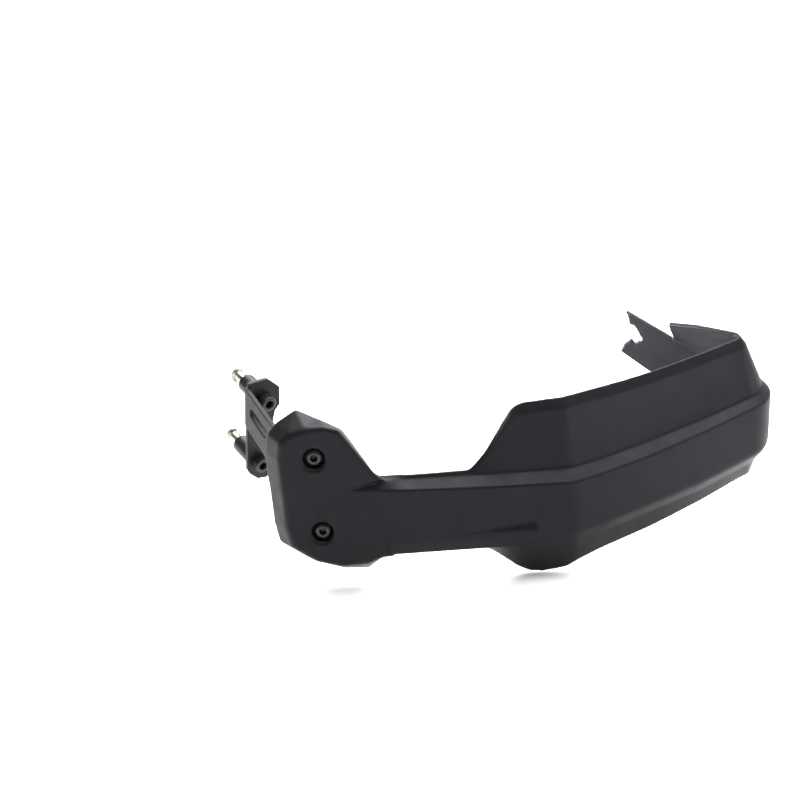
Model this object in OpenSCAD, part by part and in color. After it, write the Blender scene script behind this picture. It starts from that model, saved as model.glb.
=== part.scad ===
// Motorcycle hand guard, one side, as fitted to the bar.
// +X runs outboard along the straight arm, +Y runs rearward to the rider,
// +Z is up along the line of the two fixing screws. The origin is midway
// between the two standoffs, on the rear end faces that bear on the bar's
// bracket. Inside the file the shapes are drawn from the lower fixing
// screw's axis on the block's face, and placed() moves them to the origin.
// All sizes are in millimetres.

/* [Shell] */
// Wall thickness of the moulded shell
wall = 3; // [2.5:0.1:3.2]
// Plan angle at which the shield sweeps back after the crease
sweep = 23; // [21:0.5:25]
// Distance from the lower fixing screw to the crease, along the arm
crease_x = 147; // [143:1:151]
// Plan radius of the outboard end
end_r = 22; // [22:0.5:24]
// Length of the sweep, from the crease to the virtual outboard corner
sweep_len = 172; // [168:1:176]
// Plan angle of the rear run that carries the bar-end fork
rear_ang = 153; // [151:0.5:155]
// Length of the rear run, from the virtual corner to the fork tips
rear_len = 124; // [120:1:128]

/* [Mounting block] */
// Distance between the two fixing screws
screw_gap = 46; // [45:0.5:47]
// Depth of the screw bosses, which is where the bracket's tab bears
boss_depth = 18; // [17:0.5:19]
// Radius of a counterbore
cbore_r = 6.2; // [5.8:0.1:6.5]
// Depth of a counterbore
cbore_d = 5; // [4.6:0.1:6]

/* [Bracket] */
// Thickness of the steel sheet
sheet = 3; // [2.5:0.1:3]
// Inside radius of the sheet's bends
bend_r = 1; // [0.8:0.1:1.5]
// Plan angle of the bracket's arm, measured from straight rearward
arm_yaw = 35; // [33:0.5:37]
// Rise of the clamp screw axes
arm_rise = 16; // [15:0.5:17]
// Width of the slot in the arm
slot_w = 7; // [6.5:0.1:7.2]
// Length of the slot in the arm, end to end
slot_l = 22; // [20:0.5:22]
// Distance from the arm's bend to the rear face of the bent flange
arm_reach = 73.5; // [71:0.5:75]

/* [Clamp hardware] */
// Outer radius of the threaded standoffs
standoff_r = 6; // [5.8:0.1:6.2]
// Length of the threaded standoffs
standoff_l = 21; // [19:0.5:23]
// Gap between a standoff and the head of its clamp screw
grip = 10; // [8:0.5:10]

/* [Hidden] */
$fn = 64;

black = [0.13, 0.13, 0.14];
coated = [0.30, 0.30, 0.31];
dark = [0.08, 0.08, 0.08];
plated = [0.80, 0.80, 0.76];

// ---------- plan path of the shield ----------
// s = 0 at the crease; s < 0 runs back along the straight arm.
turn = rear_ang - sweep;
tlen = end_r * tan(turn / 2);
arc_s = sweep_len - tlen;                     // start of the end radius
arc_len = end_r * turn * PI / 180;
arc_e = arc_s + arc_len;                      // end of the end radius
rear_0 = arc_e - tlen;                        // virtual corner, seen from the rear run
corner = [crease_x + sweep_len * cos(sweep), sweep_len * sin(sweep)];
arc_c = [crease_x + arc_s * cos(sweep) - end_r * sin(sweep),
         arc_s * sin(sweep) + end_r * cos(sweep)];

// heading of the path in plan, with the crease shared between both runs
function head(s) = s < -0.5 ? 0 : s < 0.5 ? sweep / 2 : s < arc_s ? sweep
    : s < arc_e ? sweep + (s - arc_s) / arc_len * turn : rear_ang;
function miter(s) = (s > -0.5 && s < 0.5) ? 1 / cos(sweep / 2) : 1;
function path(s) = s < 0 ? [crease_x + s, 0]
    : s < arc_s ? [crease_x + s * cos(sweep), s * sin(sweep)]
    : s < arc_e ? arc_c + end_r * [sin(head(s)), -cos(head(s))]
    : corner + (s - rear_0) * [cos(rear_ang), sin(rear_ang)];
// a point o inboard of the path at height z
function place(s, o, z) = let(p = path(s), h = head(s), k = o * miter(s))
    [p[0] - k * sin(h), p[1] + k * cos(h), z];

// ---------- cross section of the shield ----------
// Each table is [distance along the path, value].
ar = arc_e;
cut = rear_0 + rear_len - 33;  // rear end of the upper wall
tip = rear_0 + rear_len;       // fork tips
mid_r = arc_s + arc_len * 0.45;  // middle of the end radius
bot_o = [[-51, 11], [-35, 12], [0, 9], [60, 8.5], [arc_s - 5, 9.3], [arc_s + 10, 10.8], [mid_r, 13],
         [ar, 8], [ar + 20, 3], [cut, 1]];
bot_z = [[-130, -22], [-52, -22.5], [-47, -26], [-35, -36.5], [-28, -40], [-20, -40.5],
         [-8, -38.5], [0, -35.5], [20, -31], [55, -25.5], [90, -18], [arc_s - 5, -10], [arc_s + 10, -8.2],
         [mid_r, -1.5], [ar, 11.5], [ar + 20, 24.5], [cut, 37], [cut + 15, 45.5], [tip + 4, 60.3]];
rid_o = [[-130, 3], [-8, 3], [60, 5], [arc_s - 5, 5.2], [arc_s + 10, 7.2], [mid_r, 10.3], [ar, 5.5], [ar + 20, 1.5], [cut, 0.8]];
rid_z = [[-130, -18.5], [0, -19], [18, -17.5], [52, -13.5], [88, -8.5], [arc_s, 0.3], [arc_s + 12, 1.6],
         [mid_r, 5], [ar, 16], [ar + 20, 27.5], [cut, 39.5], [cut + 15, 48], [tip + 4, 64]];
low_z = [[-130, 25], [-111, 23.5], [-71, 21.5], [-43, 20.5], [0, 19.5], [17, 20.5],
         [50, 24], [85, 30], [113, 35.5], [arc_s, 38], [ar, 48], [ar + 20, 57.5],
         [cut, 69], [tip - 2, 84.5]];
upp_o = [[-131, 0.2], [-115, 2.4], [-105, 4.2], [-98, 7], [60, 8], [arc_s, 6], [ar, 4], [cut, 1.2], [tip, 1.2]];
upp_z = [[-131, 25.3], [-115, 27.4], [-105, 27.8], [-98, 27], [-43, 26], [0, 26], [22, 27], [56, 30.5], [91, 36], [119, 41.5],
         [arc_s, 43], [ar, 53], [ar + 20, 61.5], [cut, 71], [tip - 2, 86.2]];
lip_o = [[-130, 7.3], [-61, 8], [-35, 10], [0, 11], [60, 12.5], [arc_s, 14.8], [ar, 14], [cut, 9]];
lip_h = [[-130, 0.9], [-61, 0.9], [-35, 4.5], [-27, 6], [arc_s, 5.5], [ar, 5], [cut, 4]];
top_o = [[-130, 8], [-61, 9], [-35, 12.5], [0, 14.5], [60, 16], [arc_s, 18.6], [ar, 18], [cut, 12]];
top_z = [[-120, 29.6], [-113, 30.2], [-104, 29.8], [-92, 29.2], [-59, 29], [-50, 38], [-44.5, 46], [-39, 54.5], [-34.5, 61], [-32, 64],
         [-27, 66], [-10, 66.8], [0, 67], [15, 67.3], [42, 68.2], [60, 69.3], [97, 73.2],
         [arc_s, 77], [ar, 79.5], [ar + 24, 82], [cut, 82], [tip + 4, 104]];

function outer(s) =
    [[lookup(s, bot_o), lookup(s, bot_z)],
     [lookup(s, rid_o), lookup(s, rid_z)],
     [lookup(s, rid_o) * 0.12, lookup(s, rid_z) * 0.81 + lookup(s, low_z) * 0.19],
     [0, lookup(s, low_z)],
     [lookup(s, upp_o), lookup(s, upp_z)],
     [lookup(s, lip_o), lookup(s, top_z) - lookup(s, lip_h)],
     [lookup(s, top_o), lookup(s, top_z)]];

// offset of an open polyline by t, inboard, mitred
function unit(v) = v / norm(v);
function nrm(a, b) = let(u = unit(b - a)) [u[1], -u[0]];
function off(a, b, c, t) = let(n = nrm(a, b), m = nrm(b, c), h = unit(n + m))
    b + h * t / max(0.6, h * n);
function inner(P, t) = [for (i = [0:len(P) - 1])
    off(i == 0 ? 2 * P[0] - P[1] : P[i - 1], P[i],
        i == len(P) - 1 ? 2 * P[i] - P[i - 1] : P[i + 1], t)];
function ring(s) = let(P = outer(s), Q = inner(P, wall))
    [for (i = [len(P) - 1:-1:0]) place(s, P[i][0], P[i][1]), for (q = Q) place(s, q[0], q[1])];

// closed solid through a list of equal rings; a strip is a ring that runs out
// and back, and its ends are closed across its thickness
module loft(R, strip = false) {
    m = len(R[0]); k = len(R); e = (k - 1) * m;
    polyhedron(points = [for (r = R) each r],
        faces = concat(
            strip ? [for (i = [0:m / 2 - 2]) each [[i, i + 1, m - 1 - i], [i + 1, m - 2 - i, m - 1 - i]]]
                  : [[for (i = [0:m - 1]) i]],
            [for (j = [0:k - 2], i = [0:m - 1], q = [0, 1])
                let(a = j * m + i, b = j * m + (i + 1) % m, c = a + m, d = b + m)
                q == 0 ? [a, c, b] : [b, c, d]],
            strip ? [for (i = [0:m / 2 - 2]) each [[e + i + 1, e + i, e + m - 1 - i],
                                                   [e + m - 2 - i, e + i + 1, e + m - 1 - i]]]
                  : [[for (i = [m - 1:-1:0]) e + i]]), convexity = 12);
}

stations = concat([-134, -131, -123, -115, -105, -98, -88, -70, -61],
    [for (s = [-56:5:-36]) s], [-35, -32, -29.5, -27, -24, -20, -14, -8, 0],
    [for (k = [1:7]) arc_s * k / 8], [arc_s - 1], [for (k = [0:11]) arc_s + arc_len * (k + 0.5) / 12],
    [ar + 1, ar + 12, ar + 24, cut, cut + 10, cut + 20, tip + 4]);

module shield() { loft([for (s = stations) ring(s)], strip = true); }

// ---------- mounting block ----------
// outline of the front face as [x, z], and of the rim behind it as [x, y, z]
face_pts = [[-18, -8], [-20, 4], [-20, 47], [-18, 57], [-12, 62.5], [-3, 64.8], [8, 65.4], [15, 63.5],
            [33, 36], [40, 27], [40, -18.6], [34, -18.6], [25, -21.5], [9, -22], [-4, -18.5]];
rim_pts = [[-28, 15, -10], [-29.5, 15, 2], [-29.5, 15, 46], [-27, 16, 58.5], [-22, 21, 63], [-10, 24.5, 69],
           [3, 18.3, 64.3], [17, 11.3, 59], [33, 11.8, 29.5], [41, 12, 27.6], [41, 11, -22.2], [33.5, 11.5, -23.2],
           [24, 14.5, -31.4], [9, 17, -32], [-11, 16, -23.5]];
// a point moved towards the block's middle, by a share of its distance
mid = [4, 18];
function drawn(p) = [mid[0] + (p[0] - mid[0]) * 0.88, mid[1] + (p[1] - mid[1]) * 0.93];

module block_outer() {
    loft([[for (p = face_pts) [p[0], 0, p[1]]], rim_pts]);
}
module block_hollow() {
    loft([[for (p = face_pts) let(q = drawn(p)) [q[0], wall + 0.5, q[1]]],
          [for (p = rim_pts) let(q = drawn([p[0], p[2]])) [q[0], 30, q[1] + (p[2] > 55 ? 2 : 0)]]]);
}

module at_screws() { for (z = [0, screw_gap]) translate([0, 0, z]) rotate([-90, 0, 0]) children(); }

module ribs() {
    // ribs that tie the bosses to the walls
    for (z = [0, screw_gap]) {
        translate([-24.5, 2, z - 1]) cube([18, 12, 2]);
        translate([6, 2, z - 1]) cube([24, 7.5, 2]);
    }
    translate([-1, 2, 6]) cube([2, boss_depth - 3, screw_gap - 12]);
}

module fork_end() {
    // what is cut from the end of the rear run, drawn in its own plane:
    // first axis runs back along the run, second is height
    r = rear_len;
    translate([corner[0], corner[1], 0]) rotate([0, 0, rear_ang]) rotate([90, 0, 0])
        translate([0, 0, -30]) linear_extrude(60) {
            polygon([[r + 14, 40], [r + 14, 110], [r - 4, 110], [r - 4, 86], [r - 6, 76.2],
                     [r - 9, 75.4], [r - 11.5, 71.4], [r - 12.7, 68.6], [r - 14.4, 67.2], [r - 13.2, 65],
                     [r - 10.6, 65], [r - 9.3, 63.2], [r - 6.4, 66.4], [r - 2, 63], [r, 58.6], [r, 40]]);
            // the upper wall stops short of the fork
            polygon([[r - 35, 67.5], [r - 33, 69], [r + 14, 96], [r + 14, 110], [r - 35, 110]]);
        }
}

module recess() {
    // shallow panel in the arm's face, deeper towards its outboard end
    polyhedron(points = [[58, -0.5, 15.5], [58, -0.5, -8.5], [130, -0.5, -11], [131, -0.5, 12],
                         [62, 0.1, 15], [62, 0.1, -8.2], [124, 0.5, -9.5], [125, 0.5, 10]],
        faces = [[0, 3, 2], [0, 2, 1], [4, 5, 6], [4, 6, 7], [0, 1, 5], [0, 5, 4],
                 [1, 2, 6], [1, 6, 5], [2, 3, 7], [2, 7, 6], [3, 0, 4], [3, 4, 7]]);
    // tapering groove along the panel's lower edge, with a steep upper side
    polyhedron(points = [[66, -0.5, -7.5], [66, -0.5, -8.9], [125.5, -0.5, -3.2], [126.5, -0.5, -11.3],
                         [123.5, 2.2, -4.2], [72, 0.4, -7.9]],
        faces = [[0, 2, 3], [0, 3, 1], [0, 5, 4], [0, 4, 2], [1, 3, 4], [1, 4, 5], [2, 4, 3], [0, 1, 5]]);
}

// what is cut from the block where the arm's bevel runs out on its face to a point
module run_out() {
    polyhedron(points = [[13.5, -0.5, 24.4], [38, -0.5, 31.8], [48, -0.5, 33], [48, -0.5, 22.5],
                         [33, 2.7, 27.5], [48, 6.5, 28.2]],
        faces = [[0, 1, 2], [0, 2, 3], [0, 4, 1], [1, 4, 5], [1, 5, 2], [0, 5, 4], [0, 3, 5], [2, 5, 3]]);
}

module guard_shell() color(black) difference() {
    union() {
        shield();
        difference() {
            block_outer();
            difference() {
                block_hollow();
                // solid behind the place where the arm's bevel runs out
                translate([17, 2, 23.6]) cube([28, 9, 9.6]);
            }
            // the block opens into the arm's channel
            translate([34, wall + 0.5, -18]) cube([12, 20, 42]);
            run_out();
        }
        at_screws() translate([0, 0, 1]) cylinder(r = cbore_r + 2.8, h = cbore_d + 2);
        at_screws() translate([0, 0, 2]) cylinder(r = 7.5, h = boss_depth - 2);
        intersection() { ribs(); block_outer(); }
    }
    // holes for the sleeves, counterbores, and the shallow dish around each
    at_screws() translate([0, 0, cbore_d]) cylinder(r = 4.5, h = 40);
    at_screws() translate([0, 0, 1.2]) cylinder(r = cbore_r, h = cbore_d - 1.2);
    at_screws() rotate_extrude() polygon([[0, -1], [cbore_r + 1.8, -1], [cbore_r + 1.8, 0], [cbore_r, 1.2], [0, 1.2]]);
    fork_end();
    recess();
}

// ---------- bracket ----------
// Axes of the bent bracket: first along the clamp screws, second outboard
// across the arm's sheet, third up the arm's sheet.
ax_a = [-sin(arm_yaw) * cos(arm_rise), cos(arm_yaw) * cos(arm_rise), sin(arm_rise)];
ax_e = [cos(arm_yaw), sin(arm_yaw), 0];
ax_w = [sin(arm_yaw) * sin(arm_rise), -cos(arm_yaw) * sin(arm_rise), cos(arm_rise)];
// middle of the first bend's inside radius, in plan
hinge = [-14 + (bend_r + sheet) * (1 - sin(arm_yaw)) / cos(arm_yaw), boss_depth + sheet + bend_r];
// where the arm's inboard face starts
root = hinge - (bend_r + sheet) * [ax_e[0], ax_e[1]];
function at_bk(x, y, z) = [root[0], root[1], 0] + x * ax_a + y * ax_e + z * ax_w;
module in_bracket() translate([root[0], root[1], 0]) rotate([0, 0, 90 + arm_yaw])
    rotate([0, -arm_rise, 0]) mirror([0, 1, 0]) children();

front = arm_reach - sheet - 1;     // flange's front face, from the root
hole_u = [14, 42.2];               // upper clamp screw, [outboard, up]
hole_l = [10, -3];                 // lower clamp screw
clamp_c = (at_bk(front + sheet + standoff_l, hole_u[0], hole_u[1])
         + at_bk(front + sheet + standoff_l, hole_l[0], hole_l[1])) / 2;

module placed() translate(-clamp_c) children();
module at_hole(h) in_bracket() translate([front, h[0], h[1]]) rotate([0, 90, 0]) children();
// [along the screws, up the sheet] turned into [run, height] in the arm's sheet
function run(x, z) = [x * cos(arm_rise) - z * sin(arm_rise), x * sin(arm_rise) + z * cos(arm_rise)];
bent = front - bend_r;             // end of the arm's flat sheet
shy = 0.02;                        // the bends are this much thinner on each side
lap = 8;                           // angle by which a bend runs on inside the flats
// a bend through an angle, about Z, which laps into the flats at both ends
module bend(angle, h) translate([0, 0, shy]) rotate([0, 0, -lap])
    rotate_extrude(angle = angle + 2 * lap) translate([bend_r + shy, 0]) square([sheet - 2 * shy, h - 2 * shy]);

module arm_sheet() translate([root[0], root[1], 0]) rotate([0, 0, 90 + arm_yaw]) rotate([90, 0, 0])
    linear_extrude(sheet) difference() {
        polygon([[0, -10], [6, -10], [18, -4.5], [33, 8.5], [36, 15.5], [36, 31], [54.5, 42.8],
                 run(bent, 28), run(bent, 54.3), [22, 55.2], [17, 54], [0, 54]]);
        // slot for the alternative position of the clamp
        translate([39.5, 52]) rotate(32.5) union() {
            square([slot_l - slot_w, slot_w], center = true);
            for (x = [-1, 1]) translate([x * (slot_l - slot_w) / 2, 0]) circle(d = slot_w);
        }
    }

module flange() in_bracket() translate([front, 0, 0]) rotate([90, 0, 90]) linear_extrude(sheet)
    polygon([[sheet + bend_r, 28], [sheet + bend_r, 27], [2, 27], [2, -7], [3.8, -11],
             [9.4, -16.5], [15.8, -17.6], [19.5, -14], [20, -8.5], [20.4, 26], [21.6, 32.3], [24.9, 36.5],
             [24.5, 49], [16, 57], [2.6, 57], [2.6, 55.3], [sheet + bend_r, 55.3]]);

module mounting_bracket() color(coated) difference() {
    union() {
        // tab behind the block
        translate([0, boss_depth + sheet, 0]) rotate([90, 0, 0]) linear_extrude(sheet)
            polygon([[hinge[0], -10], [-9, -12.5], [7, -12.5], [11, -8.5], [11, 52], [7, 56],
                     [-9, 56], [hinge[0], 54]]);
        // bend from the tab to the arm, about a vertical line
        translate([hinge[0], hinge[1], -10]) rotate([0, 0, 180 + arm_yaw]) bend(90 - arm_yaw, 64);
        arm_sheet();
        // bend from the arm to the flange
        in_bracket() translate([bent, sheet + bend_r, 28]) rotate([0, 0, -90]) bend(90, 26.3);
        flange();
    }
    at_screws() cylinder(r = 3.3, h = 60);
    for (h = [hole_u, hole_l]) at_hole(h) translate([0, 0, -1]) cylinder(r = 3.3, h = sheet + 2);
}

// ---------- fasteners, each drawn along +Z from the face it bears on ----------
// M6 threads are plain cylinders of the thread's pitch radius
thread_r = 2.675;
// shank of a screw: a plain neck under the head, then the thread, with a chamfered tip
module shank(neck, l) rotate_extrude()
    polygon([[0, -0.1], [3, -0.1], [3, neck], [thread_r, neck], [thread_r, l - 0.6], [thread_r - 0.6, l], [0, l]]);
// button head with a hexagon socket, head behind z = 0
module button_screw(neck, l) difference() {
    union() {
        rotate_extrude() polygon([[0, -3.3], [2.8, -3.3], [4, -2.8], [5, -1.9], [5.25, -0.9], [5.25, 0], [0, 0]]);
        shank(neck, l);
    }
    translate([0, 0, -3.5]) cylinder(r = 2.31, h = 2.4, $fn = 6);
}
module socket_screw(l) difference() {
    union() {
        rotate_extrude() polygon([[0, -6], [4.6, -6], [5, -5.6], [5, 0], [0, 0]]);
        translate([0, 0, -0.1]) rotate_extrude()
            polygon([[0, 0], [thread_r, 0], [thread_r, l - 0.5], [thread_r - 0.6, l + 0.1], [0, l + 0.1]]);
    }
    translate([0, 0, -6.2]) cylinder(r = 2.89, h = 3.3, $fn = 6);
}
module tube(ro, ri, h) rotate_extrude() translate([ri, 0]) square([ro - ri, h]);
module hex_nut() difference() {
    intersection() {
        cylinder(r = 5.77, h = 5, $fn = 6);
        rotate_extrude() polygon([[0, 0], [5.1, 0], [5.8, 0.5], [5.8, 4.5], [5.1, 5], [0, 5]]);
    }
    translate([0, 0, -1]) cylinder(r = thread_r, h = 7);
}

module on_screw(z, y) translate([0, y, z]) rotate([-90, 0, 0]) children();
tab_back = boss_depth + sheet;

module fixing_screw(z) color(dark) on_screw(z, cbore_d) button_screw(tab_back + 0.6 - cbore_d, 25);
module boss_sleeve(z) color(plated) on_screw(z, cbore_d) tube(4.5, 3.2, boss_depth - cbore_d);
module fixing_washer(z) color(plated) on_screw(z, tab_back) tube(6, 3.2, 1.6);
module fixing_nut(z) color(plated) on_screw(z, tab_back + 1.6) hex_nut();
module standoff_screw(h) color(dark) at_hole(h) socket_screw(12);
// threaded tube with a countersunk mouth at both ends
module standoff(h) color(black) at_hole(h) translate([0, 0, sheet]) rotate_extrude()
    polygon([[3.3, 0], [standoff_r, 0], [standoff_r, standoff_l], [3.3, standoff_l],
             [thread_r, standoff_l - 0.6], [thread_r, 0.6]]);
module clamp_screw(h) color(plated) at_hole(h)
    translate([0, 0, sheet + standoff_l + grip]) mirror([0, 0, 1]) button_screw(grip, 20);

placed() guard_shell();
placed() mounting_bracket();
placed() fixing_screw(screw_gap);  // fixing_screw_upper
placed() fixing_screw(0);  // fixing_screw_lower
placed() boss_sleeve(screw_gap);  // boss_sleeve_upper
placed() boss_sleeve(0);  // boss_sleeve_lower
placed() fixing_washer(screw_gap);  // fixing_washer_upper
placed() fixing_washer(0);  // fixing_washer_lower
placed() fixing_nut(screw_gap);  // fixing_nut_upper
placed() fixing_nut(0);  // fixing_nut_lower
placed() standoff_screw(hole_u);  // standoff_screw_upper
placed() standoff_screw(hole_l);  // standoff_screw_lower
placed() standoff(hole_u);  // standoff_upper
placed() standoff(hole_l);  // standoff_lower
placed() clamp_screw(hole_u);  // clamp_screw_upper
placed() clamp_screw(hole_l);  // clamp_screw_lower
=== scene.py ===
import math

import bmesh
import bpy
import numpy as np
from mathutils import Matrix, Vector


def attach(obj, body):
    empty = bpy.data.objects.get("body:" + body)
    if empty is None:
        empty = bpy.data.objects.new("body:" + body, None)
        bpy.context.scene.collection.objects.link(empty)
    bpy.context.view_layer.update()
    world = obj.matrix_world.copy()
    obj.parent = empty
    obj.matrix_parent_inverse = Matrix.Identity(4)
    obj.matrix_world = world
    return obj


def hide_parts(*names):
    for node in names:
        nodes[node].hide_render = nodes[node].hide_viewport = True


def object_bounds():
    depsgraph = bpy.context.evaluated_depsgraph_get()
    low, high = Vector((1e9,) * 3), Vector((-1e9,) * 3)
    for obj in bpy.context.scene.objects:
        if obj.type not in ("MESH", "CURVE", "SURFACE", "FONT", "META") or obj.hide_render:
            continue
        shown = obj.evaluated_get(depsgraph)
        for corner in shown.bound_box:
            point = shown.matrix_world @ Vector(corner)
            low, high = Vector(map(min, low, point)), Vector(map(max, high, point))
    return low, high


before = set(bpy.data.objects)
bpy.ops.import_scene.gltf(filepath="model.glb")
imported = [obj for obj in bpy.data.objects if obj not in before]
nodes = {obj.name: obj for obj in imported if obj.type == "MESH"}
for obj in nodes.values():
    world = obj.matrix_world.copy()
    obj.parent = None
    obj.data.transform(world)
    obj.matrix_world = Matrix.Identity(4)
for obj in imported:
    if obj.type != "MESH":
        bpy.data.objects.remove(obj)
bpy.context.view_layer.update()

# The shapes are drawn in millimetres from the lower fixing screw's axis on the
# block's face. C is the part's origin in that drawing.
C = np.array([-53.8177, 95.7869, 44.6128])


def rad(a):
    return a * math.pi / 180


def unit(v):
    v = np.asarray(v, float)
    return v / np.linalg.norm(v)


# ------------------------------------------------------------------ mesh tools
def work_object(name, verts, faces):
    """A closed solid in drawing millimetres, with its normals outward."""
    me = bpy.data.meshes.new(name)
    me.from_pydata([tuple(float(x) for x in v) for v in verts], [], faces)
    bm = bmesh.new()
    bm.from_mesh(me)
    bmesh.ops.remove_doubles(bm, verts=bm.verts, dist=1e-5)
    bmesh.ops.triangulate(bm, faces=bm.faces)
    bmesh.ops.recalc_face_normals(bm, faces=bm.faces)
    if bm.calc_volume(signed=True) < 0:
        bmesh.ops.reverse_faces(bm, faces=bm.faces)
    bm.to_mesh(me)
    bm.free()
    o = bpy.data.objects.new(name, me)
    bpy.context.scene.collection.objects.link(o)
    return o


def settle(o):
    """Applies an object's modifiers to its mesh."""
    dg = bpy.context.evaluated_depsgraph_get()
    me = bpy.data.meshes.new_from_object(o.evaluated_get(dg), depsgraph=dg)
    o.modifiers.clear()
    o.data = me
    return o


def boolean(a, b, op):
    m = a.modifiers.new("b", "BOOLEAN")
    m.operation, m.object, m.solver = op, b, "MANIFOLD"
    settle(a)
    bpy.data.objects.remove(b)
    return a


def tris(o):
    o.data.calc_loop_triangles()
    return len(o.data.loop_triangles)


def soften(o, voxel, rounds, most, factor=0.5):
    """Remeshes a solid and rounds its edges, then thins the flat stretches out."""
    m = o.modifiers.new("r", "REMESH")
    m.mode, m.voxel_size, m.adaptivity, m.use_smooth_shade = "VOXEL", voxel, 0.0, True
    settle(o)
    m = o.modifiers.new("s", "SMOOTH")
    m.factor, m.iterations = factor, rounds
    settle(o)
    n = tris(o)
    if n > most:
        m = o.modifiers.new("d", "DECIMATE")
        m.ratio = most / n
        settle(o)
    return o


def finished(o, name, material, slot, *replaced):
    """Turns a solid in drawing millimetres into a finished piece in the part's frame."""
    me = o.data
    me.transform(Matrix.Diagonal((0.001, 0.001, 0.001, 1.0)) @ Matrix.Translation(Vector([-float(c) for c in C])))
    for p in me.polygons:
        p.use_smooth = True
    me.materials.clear()
    me.materials.append(material)
    o.name = me.name = name
    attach(o, "root")
    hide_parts(*replaced)
    return o


def loft(name, rings, strip=False):
    rings = np.asarray(rings, float)
    k, m = rings.shape[:2]
    faces = []
    for j in range(k - 1):
        for i in range(m):
            a, b = j * m + i, j * m + (i + 1) % m
            faces.append((a, b, b + m, a + m))
    verts = list(rings.reshape(-1, 3))
    for j in (0, k - 1):
        e = j * m
        if strip:
            for i in range(m // 2 - 1):
                faces.append((e + i, e + i + 1, e + m - 2 - i, e + m - 1 - i))
        else:
            verts.append(rings[j].mean(axis=0))
            c = len(verts) - 1
            for i in range(m):
                faces.append((e + i, e + (i + 1) % m, c))
    return work_object(name, verts, faces)


def prism(name, pts3, step):
    """A prism on an outline of 3-D points, extruded both ways by step."""
    a = [np.asarray(p, float) - step for p in pts3]
    b = [np.asarray(p, float) + step for p in pts3]
    n = len(a)
    faces = [tuple(range(n)), tuple(range(2 * n - 1, n - 1, -1))]
    faces += [(i, (i + 1) % n, n + (i + 1) % n, n + i) for i in range(n)]
    return work_object(name, a + b, faces)


def hexa(af):
    """The radius of a hexagon that is af across its flats, at each angle."""
    def f(t):
        w = (t + math.pi / 6) % (math.pi / 3) - math.pi / 6
        return af / 2 / math.cos(w)
    return f


def turned(name, rings, at=(0, 0, 0), axis=(0, 0, 1), roll=0.0, seg=72):
    """A solid turned about an axis: each ring is (height, radius), and a radius may depend on the angle."""
    z = unit(axis)
    ref = np.array([0, 0, 1.0]) if abs(z[2]) < 0.9 else np.array([1.0, 0, 0])
    x = unit(np.cross(ref, z))
    y = np.cross(z, x)
    at = np.asarray(at, float)
    verts, faces = [], []
    for h, r in rings:
        for i in range(seg):
            t = 2 * math.pi * i / seg
            q = r(t) if callable(r) else r
            verts.append(at + z * h + q * (x * math.cos(t + roll) + y * math.sin(t + roll)))
    m, k = seg, len(rings)
    for j in range(k - 1):
        for i in range(m):
            a, b = j * m + i, j * m + (i + 1) % m
            faces.append((a, b, b + m, a + m))
    return verts, faces, m, k, at, z


def solid_of(name, rings, at, axis, roll=0.0, seg=72):
    """A turned solid whose two ends close on its axis."""
    verts, faces, m, k, at, z = turned(name, rings, at, axis, roll, seg)
    for j, flip in ((0, False), (k - 1, True)):
        verts.append(at + z * rings[j][0])
        c = len(verts) - 1
        for i in range(m):
            faces.append((j * m + i, j * m + (i + 1) % m, c))
    return work_object(name, verts, faces)


def ring_of(name, rings, at, axis, roll=0.0, seg=72):
    """A turned solid with a hole through it: the last ring joins the first."""
    verts, faces, m, k, at, z = turned(name, rings, at, axis, roll, seg)
    for i in range(m):
        a, b = (k - 1) * m + i, (k - 1) * m + (i + 1) % m
        faces.append((a, b, (i + 1) % m, i))
    return work_object(name, verts, faces)


# ------------------------------------------------------------------ shell, in plan
WALL, SWEEP, CREASE_X, END_R = 3.0, 23.0, 147.0, 22.0
REAR_ANG, REAR_LEN, SWEEP_LEN = 153.0, 124.0, 172.0
GAP, DEPTH, CB_R, CB_D, SHEET = 46.0, 18.0, 6.2, 5.0, 3.0
TURN = REAR_ANG - SWEEP
TLEN = END_R * math.tan(rad(TURN / 2))
ARC_S = SWEEP_LEN - TLEN
ARC_LEN = END_R * rad(TURN)
ARC_E = ARC_S + ARC_LEN
REAR_0 = ARC_E - TLEN
CORNER = np.array([CREASE_X + SWEEP_LEN * math.cos(rad(SWEEP)), SWEEP_LEN * math.sin(rad(SWEEP))])
ARC_C = np.array([CREASE_X + ARC_S * math.cos(rad(SWEEP)) - END_R * math.sin(rad(SWEEP)),
                  ARC_S * math.sin(rad(SWEEP)) + END_R * math.cos(rad(SWEEP))])
CUT, TIP, MID_R = REAR_0 + REAR_LEN - 33, REAR_0 + REAR_LEN, ARC_S + ARC_LEN * 0.45
CREASE_R = 21.5                                    # plan radius on the outside of the crease
CREASE_T = CREASE_R * math.tan(rad(SWEEP / 2))


def head(s):
    if s < -CREASE_T:
        return 0.0
    if s < CREASE_T:
        return SWEEP * (s + CREASE_T) / (2 * CREASE_T)
    if s < ARC_S:
        return SWEEP
    if s < ARC_E:
        return SWEEP + (s - ARC_S) / ARC_LEN * TURN
    return REAR_ANG


def path(s):
    h = rad(head(s))
    if s < -CREASE_T:
        return np.array([CREASE_X + s, 0.0])
    if s < CREASE_T:
        return np.array([CREASE_X - CREASE_T + CREASE_R * math.sin(h), CREASE_R - CREASE_R * math.cos(h)])
    if s < ARC_S:
        return np.array([CREASE_X + s * math.cos(rad(SWEEP)), s * math.sin(rad(SWEEP))])
    if s < ARC_E:
        return ARC_C + END_R * np.array([math.sin(h), -math.cos(h)])
    return CORNER + (s - REAR_0) * np.array([math.cos(rad(REAR_ANG)), math.sin(rad(REAR_ANG))])


def place(s, o, z):
    h, p = rad(head(s)), path(s)
    return (p[0] - o * math.sin(h), p[1] + o * math.cos(h), z)


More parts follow.
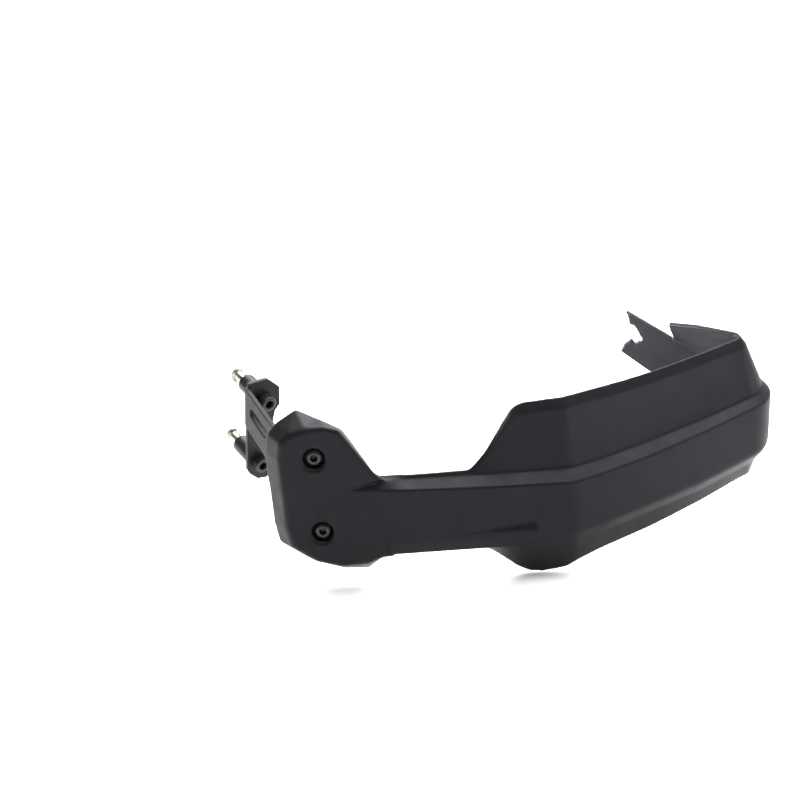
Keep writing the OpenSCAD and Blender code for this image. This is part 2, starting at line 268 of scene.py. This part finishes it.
AR = ARC_E
BOT_O = [(-51, 11), (-35, 12), (0, 9), (60, 8.5), (ARC_S - 5, 9.3), (ARC_S + 10, 10.8), (MID_R, 13), (AR, 8), (AR + 20, 3), (CUT, 1)]
BOT_Z = [(-130, -22), (-52, -22.5), (-47, -26), (-35, -36.5), (-28, -40), (-20, -40.5), (-8, -38.5), (0, -35.5), (20, -31),
         (55, -25.5), (90, -18), (ARC_S - 5, -10), (ARC_S + 10, -8.2), (MID_R, -1.5), (AR, 11.5), (AR + 20, 24.5), (CUT, 37),
         (CUT + 15, 45.5), (TIP + 4, 60.3)]
RID_O = [(-130, 3), (-8, 3), (60, 5), (ARC_S - 5, 5.2), (ARC_S + 10, 7.2), (MID_R, 10.3), (AR, 5.5), (AR + 20, 1.5), (CUT, 0.8)]
RID_Z = [(-130, -18.5), (0, -19), (18, -17.5), (52, -13.5), (88, -8.5), (ARC_S, 0.3), (ARC_S + 12, 1.6), (MID_R, 5), (AR, 16),
         (AR + 20, 27.5), (CUT, 39.5), (CUT + 15, 48), (TIP + 4, 64)]
LOW_Z = [(-130, 25), (-111, 23.5), (-71, 21.5), (-43, 20.5), (0, 19.5), (17, 20.5), (50, 24), (85, 30), (113, 35.5), (ARC_S, 38),
         (AR, 48), (AR + 20, 57.5), (CUT, 69), (TIP - 2, 84.5)]
UPP_O = [(-131, 0.2), (-115, 2.4), (-105, 4.2), (-98, 7), (60, 8), (ARC_S, 6), (AR, 4), (CUT, 1.2), (TIP, 1.2)]
UPP_Z = [(-131, 25.3), (-115, 27.4), (-105, 27.8), (-98, 27), (-43, 26), (0, 26), (22, 27), (56, 30.5), (91, 36), (119, 41.5), (ARC_S, 43), (AR, 53), (AR + 20, 61.5),
         (CUT, 71), (TIP - 2, 86.2)]
LIP_O = [(-130, 7.3), (-61, 8), (-35, 10), (0, 11), (60, 12.5), (ARC_S, 14.8), (AR, 14), (CUT, 9)]
LIP_H = [(-130, 0.9), (-61, 0.9), (-35, 4.5), (-27, 6), (ARC_S, 5.5), (AR, 5), (CUT, 4)]
TOP_O = [(-130, 8), (-61, 9), (-35, 12.5), (0, 14.5), (60, 16), (ARC_S, 18.6), (AR, 18), (CUT, 12)]
TOP_Z = [(-120, 29.6), (-113, 30.2), (-104, 29.8), (-92, 29.2), (-59, 29), (-50, 38), (-44.5, 46), (-39, 54.5), (-34.5, 61), (-32, 64), (-27, 66), (-10, 66.8), (0, 67),
         (15, 67.3), (42, 68.2), (60, 69.3), (97, 73.2), (ARC_S, 77), (AR, 79.5), (AR + 24, 82), (CUT, 82), (TIP + 4, 104)]
SPREAD = [(-2.4, 0.06), (-1.6, 0.12), (-0.8, 0.2), (0.0, 0.24), (0.8, 0.2), (1.6, 0.12), (2.4, 0.06)]


def look(s, table, soft=2.2):
    xs, ys = [p[0] for p in table], [p[1] for p in table]
    return sum(w * float(np.interp(s + d * soft, xs, ys)) for d, w in SPREAD)


def outer(s):
    return np.array([
        [look(s, BOT_O), look(s, BOT_Z, 1.2)],
        [look(s, RID_O), look(s, RID_Z)],
        [look(s, RID_O) * 0.12, look(s, RID_Z) * 0.81 + look(s, LOW_Z) * 0.19],
        [0.0, look(s, LOW_Z)],
        [look(s, UPP_O), look(s, UPP_Z)],
        [look(s, LIP_O), look(s, TOP_Z, 1.2) - look(s, LIP_H, 1.2)],
        [look(s, TOP_O), look(s, TOP_Z, 1.2)]])


def offset(P, t):
    def nrm(a, b):
        u = unit(b - a)
        return np.array([u[1], -u[0]])
    out = []
    for i in range(len(P)):
        a = P[i - 1] if i else 2 * P[0] - P[1]
        c = P[i + 1] if i < len(P) - 1 else 2 * P[i] - P[i - 1]
        n = nrm(a, P[i])
        h = unit(n + nrm(P[i], c))
        out.append(P[i] + h * t / max(0.6, float(h @ n)))
    return np.array(out)


def filleted(P, radii, n=5, closed=False):
    """An open or closed line with its corners rounded, n points to a corner."""
    out, k = [], len(P)
    for i in range(k):
        if not closed and i in (0, k - 1):
            out.append(P[i])
            continue
        a, b, c = P[i - 1], P[i], P[(i + 1) % k]
        la, lc = np.linalg.norm(a - b), np.linalg.norm(c - b)
        ua, uc = (a - b) / max(la, 1e-9), (c - b) / max(lc, 1e-9)
        half = math.acos(max(-1.0, min(1.0, float(ua @ uc)))) / 2
        t = min(radii[i] / max(math.tan(half), 1e-6), 0.46 * la, 0.46 * lc)
        for q in range(n):
            w = q / (n - 1)
            out.append((b + ua * t) * (1 - w) ** 2 + b * 2 * w * (1 - w) + (b + uc * t) * w ** 2)
    return np.array(out)


def ring(s):
    P = outer(s)
    Q = offset(P, WALL)
    A = filleted(P, [0, 0.8, 9, 1.4, 1.6, 1.6, 0])
    B = filleted(Q, [0, 0.8, 7, 1.4, 1.6, 1.6, 0])
    return [place(s, o, z) for o, z in A[::-1]] + [place(s, o, z) for o, z in B]


def stations():
    out = list(np.arange(-134, -62, 1.5)) + list(np.arange(-62, -20, 0.9)) + list(np.arange(-20, -5, 1.5))
    out += list(np.arange(-5, 5.01, 0.7)) + list(np.arange(7, ARC_S - 1, 2.6)) + [ARC_S - 0.6]
    out += list(ARC_S + ARC_LEN * (np.arange(44) + 0.5) / 44)
    out += list(np.arange(AR + 1, TIP + 4, 2.0)) + [TIP + 4]
    return out


# ------------------------------------------------------------------ shell, mounting block
FACE = np.array([(-18, -8), (-20, 4), (-20, 47), (-18, 57), (-12, 62.5), (-3, 64.8), (8, 65.4), (15, 63.5), (33, 36), (40, 27),
                 (40, -18.6), (34, -18.6), (25, -21.5), (9, -22), (-4, -18.5)], float)
RIM = np.array([(-28, 15, -10), (-29.5, 15, 2), (-29.5, 15, 46), (-27, 16, 58.5), (-22, 21, 63), (-10, 24.5, 69),
                (3, 18.3, 64.3), (17, 11.3, 59), (33, 11.8, 29.5), (41, 12, 27.6), (41, 11, -22.2), (33.5, 11.5, -23.2),
                (24, 14.5, -31.4), (9, 17, -32), (-11, 16, -23.5)], float)
MIDDLE = np.array([4.0, 18.0])


def drawn(p):
    return MIDDLE + (np.asarray(p, float) - MIDDLE) * np.array([0.88, 0.93])


def block_outer():
    # outline and rim rounded together, then the front edge rounded along its whole length
    both = np.array([[f[0], 0.0, f[1], r[0], r[1], r[2]] for f, r in zip(FACE, RIM)])
    soft = [6, 9, 9, 7, 7, 6, 7, 8, 10, 3, 2, 6, 7, 9, 9]
    both = filleted(both, soft, 6, closed=True)
    F, R = both[:, :3], both[:, 3:]
    rings = [R]
    towards = np.array([MIDDLE[0], 0.0, MIDDLE[1]])
    reach = 3.6
    lo, hi = [], []
    for f, r in zip(F, R):
        d = r - f
        back = min(reach, 0.6 * np.linalg.norm(d))
        lo.append(f + unit(d) * back)
        hi.append(f + unit(towards - f) * reach)
    lo, hi = np.array(lo), np.array(hi)
    for w in np.linspace(0, 1, 8):
        rings.append(lo * (1 - w) ** 2 + F * 2 * w * (1 - w) + hi * w ** 2)
    return loft("block", np.array(rings))


def block_hollow():
    a = [(drawn(p)[0], WALL + 0.5, drawn(p)[1]) for p in FACE]
    b = [(drawn((p[0], p[2]))[0], 30.0, drawn((p[0], p[2]))[1] + (2 if p[2] > 55 else 0)) for p in RIM]
    return loft("hollow", np.array([a, b]))


def cube_mm(x0, y0, z0, dx, dy, dz):
    pts = [(x0, y0, z0), (x0 + dx, y0, z0), (x0 + dx, y0, z0 + dz), (x0, y0, z0 + dz)]
    mid = [np.array(p) + np.array([0, dy / 2, 0]) for p in pts]
    return prism("cube", mid, np.array([0, dy / 2, 0]))


def rod(z, r, y0, y1, seg=96):
    return solid_of("rod", [(y0, r), (y1, r)], (0, 0, z), (0, 1, 0), 0, seg)


def build_shell():
    shell = loft("shell", np.array([ring(s) for s in stations()]), strip=True)
    block = block_outer()
    inner_rib = cube_mm(-1, 2, 6, 2, DEPTH - 3, GAP - 12)
    ribs = [inner_rib]
    for z in (0, GAP):
        ribs += [cube_mm(-24.5, 2, z - 1, 18, 12, 2), cube_mm(6, 2, z - 1, 24, 7.5, 2)]
    keep = block_outer()
    for r in ribs[1:]:
        boolean(ribs[0], r, "UNION")
    boolean(ribs[0], keep, "INTERSECT")
    hollow = boolean(block_hollow(), cube_mm(17, 2, 23.6, 28, 9, 9.6), "DIFFERENCE")
    boolean(block, hollow, "DIFFERENCE")
    boolean(block, cube_mm(34, WALL + 0.5, -18, 12, 20, 42), "DIFFERENCE")
    # where the arm's bevel runs out on the block's face to a point
    run_out = work_object("run_out", [(11.0, -0.5, 24.5), (38, -0.5, 31.8), (48, -0.5, 33), (48, -0.5, 22.5), (33, 2.7, 27.5), (48, 6.5, 28.2)],
                          [(0, 1, 2), (0, 2, 3), (0, 4, 1), (1, 4, 5), (1, 5, 2), (0, 5, 4), (0, 3, 5), (2, 5, 3)])
    boolean(block, run_out, "DIFFERENCE")
    for z in (0, GAP):
        boolean(block, rod(z, CB_R + 2.8, 1, CB_D + 3), "UNION")
        boolean(block, rod(z, 7.5, 2, DEPTH), "UNION")
    boolean(block, ribs[0], "UNION")
    boolean(shell, block, "UNION")
    for z in (0, GAP):
        boolean(shell, rod(z, 4.5, CB_D, CB_D + 40), "DIFFERENCE")
        boolean(shell, rod(z, CB_R, -1, CB_D), "DIFFERENCE")
        dish = solid_of("dish", [(-1.5, CB_R + 2.6), (0, CB_R + 2.3), (0.5, CB_R + 1.0), (1.6, CB_R - 0.4)], (0, 0, z), (0, 1, 0), 0, 96)
        boolean(shell, dish, "DIFFERENCE")
    # fork and upper wall, cut in the rear run's own plane
    r = REAR_LEN
    d = np.array([math.cos(rad(REAR_ANG)), math.sin(rad(REAR_ANG)), 0])
    n = np.array([-d[1], d[0], 0])

    def in_run(pts):
        return [np.array([CORNER[0], CORNER[1], 0]) + a * d + np.array([0, 0, z]) for a, z in pts]
    boolean(shell, prism("fork", in_run([
        (r + 14, 40), (r + 14, 110), (r - 4, 110), (r - 4, 86), (r - 6, 76.2), (r - 9, 75.4), (r - 11.5, 71.4), (r - 12.7, 68.6),
        (r - 14.4, 67.2), (r - 13.2, 65), (r - 10.6, 65), (r - 9.3, 63.2), (r - 6.4, 66.4), (r - 2, 63), (r, 58.6), (r, 40)]),
        n * 30), "DIFFERENCE")
    boolean(shell, prism("wall", in_run([(r - 35, 67.5), (r - 33, 69), (r + 14, 96), (r + 14, 110), (r - 35, 110)]), n * 30),
            "DIFFERENCE")
    # shallow panel in the arm's face, with a tapering groove along its lower edge
    top = [(58, -0.5, 15.5), (58, -0.5, -8.5), (130, -0.5, -11), (131, -0.5, 12)]
    low = [(62, 0.1, 15), (62, 0.1, -8.2), (124, 0.5, -9.5), (125, 0.5, 10)]
    panel = work_object("panel", top + low, [(0, 1, 2), (0, 2, 3), (4, 5, 6), (4, 6, 7), (0, 1, 5, 4), (1, 2, 6, 5), (2, 3, 7, 6), (3, 0, 4, 7)])
    boolean(shell, panel, "DIFFERENCE")
    scoop = work_object("scoop", [(66, -0.5, -7.3), (66, -0.5, -8.9), (125.5, -0.5, -2.9), (126.5, -0.5, -11.3), (123.5, 2.5, -3.7), (72, 0.6, -7.7)],
                        [(0, 2, 3), (0, 3, 1), (0, 5, 4), (0, 4, 2), (1, 3, 4), (1, 4, 5), (2, 4, 3), (0, 1, 5)])
    boolean(shell, scoop, "DIFFERENCE")
    return shell


# ------------------------------------------------------------------ materials
def new_mat(name):
    m = bpy.data.materials.new(name)
    m.use_nodes = True
    nt = m.node_tree
    b = nt.nodes["Principled BSDF"]
    tc = nt.nodes.new("ShaderNodeTexCoord")
    return m, nt, b, tc.outputs["Object"]


def noise(nt, co, scale, detail=3.0, rough=0.5):
    n = nt.nodes.new("ShaderNodeTexNoise")
    n.inputs["Scale"].default_value = scale
    n.inputs["Detail"].default_value = detail
    n.inputs["Roughness"].default_value = rough
    nt.links.new(co, n.inputs["Vector"])
    return n.outputs["Fac"]


def ramp(nt, fac, stops):
    r = nt.nodes.new("ShaderNodeValToRGB")
    e = r.color_ramp.elements
    while len(e) < len(stops):
        e.new(0.5)
    for k, (pos, col) in zip(e, stops):
        k.position = pos
        k.color = (*col, 1.0) if len(col) == 3 else col
    nt.links.new(fac, r.inputs["Fac"])
    return r.outputs["Color"]


def span(nt, fac, lo, hi):
    m = nt.nodes.new("ShaderNodeMapRange")
    m.inputs["From Min"].default_value, m.inputs["From Max"].default_value = 0.3, 0.7
    m.inputs["To Min"].default_value, m.inputs["To Max"].default_value = lo, hi
    nt.links.new(fac, m.inputs["Value"])
    return m.outputs["Result"]


def bump(nt, b, height, strength, distance, after=None):
    n = nt.nodes.new("ShaderNodeBump")
    n.inputs["Strength"].default_value = strength
    n.inputs["Distance"].default_value = distance
    nt.links.new(height, n.inputs["Height"])
    if after:
        nt.links.new(after, n.inputs["Normal"])
    nt.links.new(n.outputs["Normal"], b.inputs["Normal"])
    return n.outputs["Normal"]


def shell_plastic():
    m, nt, b, co = new_mat("shell_plastic")
    broad = noise(nt, co, 14, 3)
    nt.links.new(ramp(nt, broad, [(0.3, (0.0045, 0.0049, 0.0058)), (0.7, (0.0058, 0.0062, 0.0072))]), b.inputs["Base Color"])
    nt.links.new(span(nt, noise(nt, co, 90, 4), 0.42, 0.52), b.inputs["Roughness"])
    b.inputs["Specular IOR Level"].default_value = 0.165
    b.inputs["Specular Tint"].default_value = (0.90, 0.91, 1.0, 1.0)
    first = bump(nt, b, noise(nt, co, 2600, 2), 0.22, 0.00012)
    bump(nt, b, noise(nt, co, 55, 2), 0.06, 0.0012, first)
    return m


def coat(name, dark, light, rough, spec=0.5, grain=1400, strength=0.25):
    m, nt, b, co = new_mat(name)
    nt.links.new(ramp(nt, noise(nt, co, 60, 4), [(0.3, dark), (0.7, light)]), b.inputs["Base Color"])
    nt.links.new(span(nt, noise(nt, co, 300, 3), rough - 0.05, rough + 0.06), b.inputs["Roughness"])
    b.inputs["Specular IOR Level"].default_value = spec
    bump(nt, b, noise(nt, co, grain, 2), strength, 0.00012)
    return m


def metal(name, dark, light, rough, grain=900, strength=0.12):
    m, nt, b, co = new_mat(name)
    nt.links.new(ramp(nt, noise(nt, co, 240, 4, 0.6), [(0.3, dark), (0.7, light)]), b.inputs["Base Color"])
    nt.links.new(span(nt, noise(nt, co, 420, 3), rough - 0.06, rough + 0.08), b.inputs["Roughness"])
    b.inputs["Metallic"].default_value = 1.0
    bump(nt, b, noise(nt, co, grain, 3), strength, 0.00008)
    return m


PLASTIC = shell_plastic()
COATED = coat("bracket_coat", (0.008, 0.008, 0.009), (0.012, 0.012, 0.013), 0.42, 0.2)
BLACKED = coat("black_steel", (0.013, 0.0125, 0.011), (0.021, 0.020, 0.017), 0.34, 0.42, 2200, 0.12)
SPACER = coat("standoff_black", (0.008, 0.008, 0.009), (0.012, 0.012, 0.013), 0.42, 0.36, 1800, 0.18)
PLATED = metal("plated_steel", (0.42, 0.41, 0.36), (0.52, 0.51, 0.46), 0.30)

# ------------------------------------------------------------------ pieces
shell = soften(build_shell(), 0.6, 6, 195000)
finished(shell, "shell_moulding", PLASTIC, "shell_plastic", "guard_shell")

# bracket: the CAD's bent sheet, with the rounded edges of a blanked and coated sheet
src = nodes["mounting_bracket"].data
bk = bpy.data.objects.new("bracket", src.copy())
bk.data.transform(Matrix.Translation(Vector([float(c) for c in C])) @ Matrix.Diagonal((1000.0, 1000.0, 1000.0, 1.0)))
bpy.context.scene.collection.objects.link(bk)
soften(bk, 0.36, 5, 90000)
finished(bk, "bracket_sheet", COATED, "bracket_coat", "mounting_bracket")

AX_A = np.array([-0.551357, 0.787419, 0.275637])
AX_E = np.array([0.819152, 0.573576, 0.0])
AX_W = np.array([0.158099, -0.225789, 0.961262])
ROOT = np.array([-15.1943, 19.7057, 0.0])
FRONT, STANDOFF_L, GRIP = 69.5, 21.0, 10.0
HOLES = {"upper": (14.0, 42.2), "lower": (10.0, -3.0)}


def at_hole(h, along=0.0):
    return ROOT + (FRONT + along) * AX_A + h[0] * AX_E + h[1] * AX_W


def thread(r, pitch=1.0, depth=0.5):
    """Radius of a thread at a height, as a function that gives the ring's own radius function."""
    def at(z):
        def f(t):
            w = (z / pitch - t / (2 * math.pi)) % 1.0
            return r - depth * min(1.0, max(0.0, 2.6 * abs(w - 0.5) - 0.12))
        return f
    return at


def shank(neck, length, rings):
    """Adds a plain neck, a thread and a chamfered tip to a screw's rings."""
    rings += [(0.0, 3.25), (0.25, 3.02), (neck - 0.2, 3.0), (neck, 2.55)]
    cut = thread(2.98)
    z = neck + 0.2
    while z < length - 0.7:
        rings.append((z, cut(z)))
        z += 0.125
    rings += [(length - 0.6, 2.6), (length, 2.1)]
    return rings


def button_rings(neck, length):
    rings = [(0.9, 0.05), (0.6, hexa(3.0)), (0.3, hexa(3.98)), (-2.2, hexa(4.0)), (-3.02, hexa(4.0)), (-3.2, hexa(4.25)),
             (-3.3, 2.55), (-3.31, 2.8), (-3.24, 3.2), (-3.02, 3.7), (-2.68, 4.15), (-2.24, 4.55), (-1.75, 4.86),
             (-1.25, 5.07), (-0.8, 5.19), (-0.45, 5.25), (-0.15, 5.22), (0.0, 5.1)]
    return shank(neck, length, rings)


def socket_rings(length):
    rings = [(-1.0, 0.05), (-1.3, hexa(4.2)), (-1.6, hexa(4.98)), (-4.2, hexa(5.0)), (-5.75, hexa(5.0)), (-5.98, hexa(5.4)),
             (-6.0, 3.25), (-6.0, 4.3), (-5.93, 4.62), (-5.72, 4.86), (-5.4, 4.97), (-5.1, 5.0)]

    def knurl(t):
        return 5.0 - 0.14 * abs(math.sin(t * 24))
    rings += [(-4.9, knurl), (-3.4, knurl), (-1.9, knurl), (-0.5, knurl), (-0.25, 5.0), (0.0, 4.85)]
    return shank(3.4, length, rings)


BACK = DEPTH + SHEET
for side, z in (("upper", GAP), ("lower", 0.0)):
    roll = 0.35 if side == "upper" else 0.9
    o = solid_of("fs", button_rings(BACK + 0.6 - CB_D, 25), (0, CB_D, z), (0, 1, 0), roll, 96)
    finished(o, "block_screw_" + side, BLACKED, "black_steel", "fixing_screw_" + side)
    o = ring_of("sl", [(0.0, 3.5), (0.0, 4.3), (0.3, 4.5), (6.5, 4.5), (12.7, 4.5), (13.0, 4.3), (13.0, 3.5), (12.6, 3.2),
                       (6.5, 3.2), (0.4, 3.2)], (0, CB_D, z), (0, 1, 0))
    finished(o, "sleeve_" + side, PLATED, "plated_steel", "boss_sleeve_" + side)
    o = ring_of("wa", [(0.0, 3.25), (0.0, 5.8), (0.12, 5.97), (0.8, 6.0), (1.35, 5.97), (1.6, 5.7), (1.6, 3.4), (1.45, 3.2),
                       (0.1, 3.2)], (0, BACK, z), (0, 1, 0))
    finished(o, "washer_" + side, PLATED, "plated_steel", "fixing_washer_" + side)

    def nut(r):
        return lambda t: min(hexa(10)(t), r)
    o = ring_of("nu", [(0.0, 3.2), (0.0, 4.85), (0.35, nut(5.3)), (0.8, nut(5.77)), (2.5, nut(5.77)), (4.2, nut(5.77)),
                       (4.65, nut(5.3)), (5.0, 4.85), (5.0, 3.25), (4.55, 2.7), (0.4, 2.7)], (0, BACK + 1.6, z), (0, 1, 0), roll * 1.3, 96)
    finished(o, "nut_" + side, PLATED, "plated_steel", "fixing_nut_" + side)

for side, h in HOLES.items():
    roll = 0.2 if side == "upper" else 0.75
    o = solid_of("ss", socket_rings(12), at_hole(h), AX_A, roll, 144)
    finished(o, "flange_screw_" + side, BLACKED, "black_steel", "standoff_screw_" + side)
    o = ring_of("st", [(0.0, 3.1), (0.0, 5.55), (0.2, 5.85), (0.6, 6.0), (10.5, 6.0), (STANDOFF_L - 0.7, 6.0), (STANDOFF_L - 0.25, 5.85),
                       (STANDOFF_L, 5.5), (STANDOFF_L, 3.2), (STANDOFF_L - 0.5, 2.7), (10.5, 2.7), (0.5, 2.7)],
                at_hole(h, SHEET), AX_A, 0, 96)
    finished(o, "spacer_" + side, SPACER, "standoff_black", "standoff_" + side)
    o = solid_of("cs", button_rings(GRIP, 20), at_hole(h, SHEET + STANDOFF_L + GRIP), -AX_A, roll * 1.7, 96)
    finished(o, "bar_screw_" + side, PLATED, "plated_steel", "clamp_screw_" + side)

# ------------------------------------------------------------------ floor, light, camera
scene = bpy.context.scene
fm, fnt, fb, fco = new_mat("floor")
fnt.links.new(ramp(fnt, noise(fnt, fco, 3, 2), [(0.3, (0.94, 0.94, 0.94)), (0.7, (0.96, 0.96, 0.96))]), fb.inputs["Base Color"])
fb.inputs["Roughness"].default_value = 0.75
fb.inputs["Specular IOR Level"].default_value = 0.2
lo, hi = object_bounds()
me = bpy.data.meshes.new("floor")
g, zf = 14.0, float(lo[2]) - 0.0012
me.from_pydata([(-g, -g, zf), (g, -g, zf), (g, g, zf), (-g, g, zf)], [], [(0, 1, 2, 3)])
me.materials.append(fm)
floor = bpy.data.objects.new("floor", me)
scene.collection.objects.link(floor)

w = bpy.data.worlds.new("studio")
scene.world = w
w.use_nodes = True
wt = w.node_tree
sky = wt.nodes["Background"]
sky.inputs["Color"].default_value = (1.0, 1.0, 1.0, 1.0)
wc = wt.nodes.new("ShaderNodeTexCoord")
ws = wt.nodes.new("ShaderNodeSeparateXYZ")
wt.links.new(wc.outputs["Generated"], ws.inputs["Vector"])


def graded(out, a, b, lo_v, hi_v):
    m = wt.nodes.new("ShaderNodeMapRange")
    m.interpolation_type = "SMOOTHSTEP"
    for k, v in (("From Min", a), ("From Max", b), ("To Min", lo_v), ("To Max", hi_v)):
        m.inputs[k].default_value = v
    wt.links.new(out, m.inputs["Value"])
    return m.outputs["Result"]


def sums(op, a, b=None):
    m = wt.nodes.new("ShaderNodeMath")
    m.operation = op
    for k, v in enumerate((a, b)):
        if v is None:
            continue
        if isinstance(v, float):
            m.inputs[k].default_value = v
        else:
            wt.links.new(v, m.inputs[k])
    return m.outputs[0]


# a long softbox overhead that runs from front to back, a bright horizon, and little between them
across = sums("MULTIPLY", graded(ws.outputs["X"], -0.32, -0.10, 0.0, 8.2), graded(ws.outputs["X"], 0.46, 0.62, 1.0, 0.0))
along = sums("MULTIPLY", graded(ws.outputs["Y"], -0.48, -0.24, 0.0, 1.0), graded(ws.outputs["Y"], 0.78, 0.99, 1.0, 0.0))
above = sums("MULTIPLY", sums("MULTIPLY", across, along), graded(ws.outputs["Z"], 0.05, 0.3, 0.0, 1.0))
level = graded(ws.outputs["Z"], 0.02, 0.16, 1.08, 0.12)
wt.links.new(sums("ADD", above, level), sky.inputs["Strength"])


def softbox(name, at, to, size, size_y, power, spread=180):
    d = bpy.data.lights.new(name, "AREA")
    d.spread = rad(spread)
    d.shape, d.size, d.size_y, d.energy = "RECTANGLE", size, size_y, power
    o = bpy.data.objects.new(name, d)
    o.location = at
    o.rotation_mode = "QUATERNION"
    o.rotation_quaternion = (Vector(to) - Vector(at)).to_track_quat("-Z", "Y")
    scene.collection.objects.link(o)
    o.visible_camera = False
    return o


MID = (0.12, -0.03, 0.0)
softbox("overhead", (0.10, 0.10, 1.25), MID, 1.0, 0.8, 2)
softbox("left", (-1.25, -0.22, 0.42), MID, 0.9, 0.7, 1.0)
softbox("right", (1.35, 0.35, 0.55), MID, 0.9, 0.9, 4)
softbox("fill", (0.130, -0.020, 0.085), (0.289, -0.001, 0.010), 0.12, 0.12, 0.7, 75)
softbox("right_front", (0.74, -0.25, 0.05), (0.29, -0.04, 0.0), 0.3, 0.2, 0.45, 120)

cam_d = bpy.data.cameras.new("camera")
cam_d.sensor_width, cam_d.lens = 36.0, 54.0
cam_d.clip_start, cam_d.clip_end = 0.02, 60.0
cam = bpy.data.objects.new("camera", cam_d)
right = Vector((0.9957, 0.0184, -0.0908)).normalized()
fwd = Vector((-0.0469, 0.9454, -0.3227)).normalized()
up = right.cross(fwd).normalized()
right = fwd.cross(up).normalized()
rot = Matrix((right, up, -fwd)).transposed()
cam.matrix_world = Matrix.Translation(Vector((0.1375237, -0.7287349, 0.2490962))) @ rot.to_4x4()
scene.collection.objects.link(cam)
scene.camera = cam
scene.view_settings.view_transform = "Standard"
